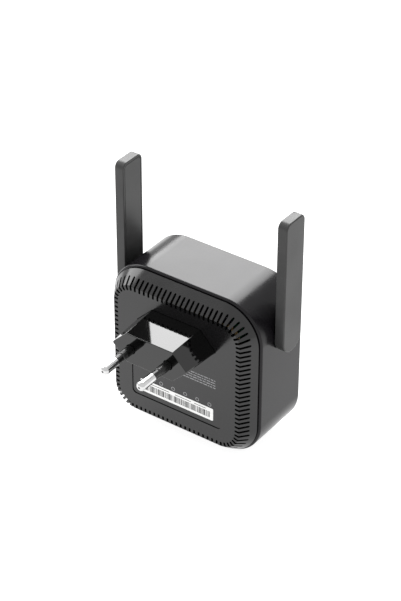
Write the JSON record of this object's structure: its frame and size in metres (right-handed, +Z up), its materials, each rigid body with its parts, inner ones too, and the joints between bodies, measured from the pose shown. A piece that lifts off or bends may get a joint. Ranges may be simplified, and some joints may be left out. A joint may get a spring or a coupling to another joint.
{
  "type": "wifi range extender",
  "caption": "Square plug-in WiFi range extender with a round-pin mains plug, a vented back cover and paddle antennas that fold on side hinges.",
  "frame": {"origin": "centre of the plug block's end face, between the two pins", "axes": "+Z up along the raised antennas, +Y out along the pins into the socket, -Y out of the front face, X along both antenna hinges"},
  "size_m": [0.0824, 0.0722, 0.1107],
  "materials": {
    "housing_plastic": "semi-gloss black moulded plastic",
    "cover_plastic": "satin black, very fine texture",
    "plug_plastic": "glossy black insulating plastic",
    "antenna_plastic": "satin black",
    "sleeve_plastic": "black insulating sleeve",
    "nickel": "polished nickel plate",
    "copper": "phosphor bronze",
    "brass": "gold flashed",
    "paper_label": "matt white sticker",
    "mains_fibre": "phenolic board",
    "green_fibre": "green solder mask",
    "ferrite": "dull ferrite",
    "tape": "yellow winding tape",
    "capacitor_sleeve": "shrunk plastic sleeve",
    "blue_epoxy": "dipped epoxy",
    "chip": "moulded epoxy",
    "fuse_body": "ceramic tube",
    "tinned_steel": "tin plated",
    "spring_steel": "bright spring steel",
    "zinc": "zinc plated",
    "aluminium": "plain sheet",
    "pad_rubber": "soft silicone",
    "led_resin": "clear resin",
    "clear_plastic": "frosted clear plastic",
    "button_plastic": "satin black",
    "pivot_nylon": "natural nylon, black",
    "cable_jacket": "thin coax jacket"
  },
  "bodies": {
    "housing": {"front_housing": "housing_plastic", "back_cover": "cover_plastic", "plug_block": "plug_plastic", "barcode_label": "paper_label", "left_pin": "nickel", "right_pin": "nickel", "left_pin_sleeve": "sleeve_plastic", "right_pin_sleeve": "sleeve_plastic", "left_mains_contact": "copper", "right_mains_contact": "copper", "mains_board": "mains_fibre", "transformer_core": "ferrite", "transformer_winding": "tape", "input_capacitor": "capacitor_sleeve", "output_capacitor": "capacitor_sleeve", "choke": "ferrite", "bridge_rectifier": "chip", "power_controller": "chip", "safety_capacitor": "blue_epoxy", "fuse": "fuse_body", "board_header": "chip", "main_board": "green_fibre", "rf_shield": "tinned_steel", "wifi_chip": "chip", "thermal_pad": "pad_rubber", "heat_spreader": "aluminium", "memory_chip": "chip", "status_led": "led_resin", "tact_switch": "chip", "light_guide": "clear_plastic", "main_board_screw_1": "zinc", "main_board_screw_2": "zinc", "main_board_screw_3": "zinc", "main_board_screw_4": "zinc", "mains_board_screw_1": "zinc", "mains_board_screw_2": "zinc", "left_hinge_washer": "pivot_nylon", "right_hinge_washer": "pivot_nylon", "left_coax_cable": "cable_jacket", "right_coax_cable": "cable_jacket", "left_coax_connector": "brass", "right_coax_connector": "brass"},
    "left_antenna": {"left_antenna_shell": "antenna_plastic", "left_antenna_cover": "antenna_plastic", "left_antenna_radiator": "green_fibre", "left_antenna_pivot": "pivot_nylon", "left_pivot_clip": "spring_steel", "left_hinge_spring": "spring_steel"},
    "right_antenna": {"right_antenna_shell": "antenna_plastic", "right_antenna_cover": "antenna_plastic", "right_antenna_radiator": "green_fibre", "right_antenna_pivot": "pivot_nylon", "right_pivot_clip": "spring_steel", "right_hinge_spring": "spring_steel"},
    "reset_button": {"reset_button": "button_plastic"}
  },
  "joints": [
    {"name": "left_antenna_hinge", "type": "hinge", "parent": "housing", "child": "left_antenna", "pos_m": [-0.0365, -0.0396, 0.0037], "axis": [1, 0, 0], "range_deg": [0, 180]},
    {"name": "right_antenna_hinge", "type": "hinge", "parent": "housing", "child": "right_antenna", "pos_m": [0.0365, -0.0396, 0.0037], "axis": [1, 0, 0], "range_deg": [0, 180]},
    {"name": "reset_button_press", "type": "slide", "parent": "housing", "child": "reset_button", "axis": [0, 0, 1], "range_m": [0, 0.0005], "stiffness_N_per_m": 1600}
  ]
}
